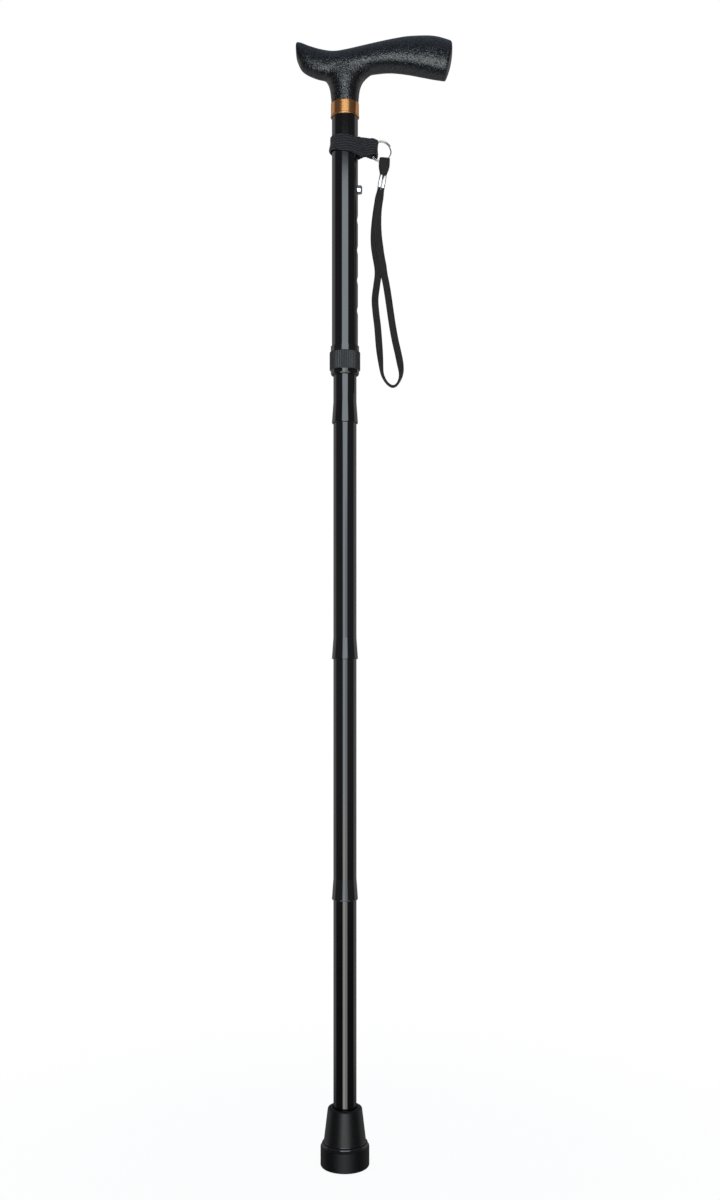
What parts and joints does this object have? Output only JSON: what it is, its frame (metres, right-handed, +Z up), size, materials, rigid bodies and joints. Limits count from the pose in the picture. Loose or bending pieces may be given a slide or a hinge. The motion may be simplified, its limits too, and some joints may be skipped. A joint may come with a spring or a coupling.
{
  "type": "folding cane",
  "caption": "Folding walking cane with a derby handle, sliding height lock, tube sections on an elastic cord, rubber ferrule and wrist strap.",
  "frame": {"origin": "centre of the ferrule's sole, on the tubes' axis, where the cane meets the floor", "axes": "+Z up along the tubes, +X along the palm grip, and the handle's nose at -X"},
  "size_m": [0.1319, 0.0412, 0.9512],
  "materials": {
    "handle_plastic": "black moulded plastic with a fine leather grain",
    "bronze": "satin bronze anodised",
    "black_tube": "gloss black coating",
    "lock_plastic": "matte black moulded plastic",
    "bright_steel": "bright nickel plate",
    "plug_plastic": "black moulded plastic",
    "elastic": "braided sleeve over rubber",
    "ferrule_rubber": "matte black rubber",
    "washer_steel": "zinc plated",
    "webbing": "ribbed elastic webbing",
    "braid": "flat braided cord"
  },
  "bodies": {
    "handle_section": {"handle": "handle_plastic", "handle_collar": "bronze", "upper_tube": "black_tube", "lock_bush": "lock_plastic", "strap_band": "webbing"},
    "lock_ring": {"lock_ring": "lock_plastic"},
    "inner_section": {"inner_tube": "black_tube", "upper_cord_anchor": "plug_plastic", "elastic_cord_1": "elastic"},
    "snap_clip": {"snap_clip": "bright_steel"},
    "cord_link_1": {"elastic_cord_2": "elastic"},
    "second_section": {"joint_plug_1": "plug_plastic", "second_tube": "black_tube"},
    "cord_link_2": {"elastic_cord_3": "elastic"},
    "third_section": {"joint_plug_2": "plug_plastic", "third_tube": "black_tube"},
    "cord_link_3": {"elastic_cord_4": "elastic"},
    "lower_section": {"joint_plug_3": "plug_plastic", "lower_tube": "black_tube", "lower_cord_anchor": "plug_plastic", "ferrule": "ferrule_rubber", "ferrule_washer": "washer_steel"},
    "split_ring": {"split_ring": "bright_steel"},
    "wrist_strap": {"strap_eye": "braid", "strap_crimp": "bright_steel", "wrist_loop": "braid"}
  },
  "joints": [
    {"name": "lock_turn", "type": "hinge", "parent": "handle_section", "child": "lock_ring", "pos_m": [0, 0, 0.6765], "axis": [0, 0, 1], "range_deg": [0, 270]},
    {"name": "height_adjust", "type": "slide", "parent": "handle_section", "child": "inner_section", "axis": [0, 0, -1], "range_m": [0, 0.1016]},
    {"name": "button_press", "type": "slide", "parent": "inner_section", "child": "snap_clip", "axis": [-1, 0, 0], "range_m": [0, 0.0055], "stiffness_N_per_m": 400, "springref_m": -0.005, "deforming": ["snap_clip"]},
    {"name": "fold_1", "type": "hinge", "parent": "inner_section", "child": "cord_link_1", "pos_m": [0, 0.0135, 0.625], "axis": [1, 0, 0], "range_deg": [0, 180], "deforming": ["elastic_cord_2"]},
    {"name": "pull_1", "type": "slide", "parent": "cord_link_1", "child": "second_section", "axis": [0, 0, -1], "range_m": [0, 0.045], "stiffness_N_per_m": 200, "springref_m": -0.08},
    {"name": "fold_2", "type": "hinge", "parent": "second_section", "child": "cord_link_2", "pos_m": [-0.0175, 0, 0.4265], "axis": [0, 1, 0], "range_deg": [0, 180], "deforming": ["elastic_cord_3"]},
    {"name": "pull_2", "type": "slide", "parent": "cord_link_2", "child": "third_section", "axis": [0, 0, -1], "range_m": [0, 0.045], "stiffness_N_per_m": 200, "springref_m": -0.08},
    {"name": "fold_3", "type": "hinge", "parent": "third_section", "child": "cord_link_3", "pos_m": [0, 0.0175, 0.224], "axis": [1, 0, 0], "range_deg": [0, 180], "deforming": ["elastic_cord_4"]},
    {"name": "pull_3", "type": "slide", "parent": "cord_link_3", "child": "lower_section", "axis": [0, 0, -1], "range_m": [0, 0.045], "stiffness_N_per_m": 200, "springref_m": -0.08},
    {"name": "ring_swing", "type": "hinge", "parent": "handle_section", "child": "split_ring", "pos_m": [0.0224, 0, 0.8547], "axis": [0, 0, 1], "range_deg": [-15, 15]},
    {"name": "strap_swing", "type": "hinge", "parent": "split_ring", "child": "wrist_strap", "pos_m": [0.0334, 0, 0.84685], "axis": [1, 0, 0], "range_deg": [-80, 80], "deforming": ["strap_eye"]}
  ],
  "couplings": [
    {"joint": "pull_1", "follows": "fold_1", "m_per_rad": 0.01432},
    {"joint": "pull_2", "follows": "fold_2", "m_per_rad": 0.01432},
    {"joint": "pull_3", "follows": "fold_3", "m_per_rad": 0.01432}
  ]
}
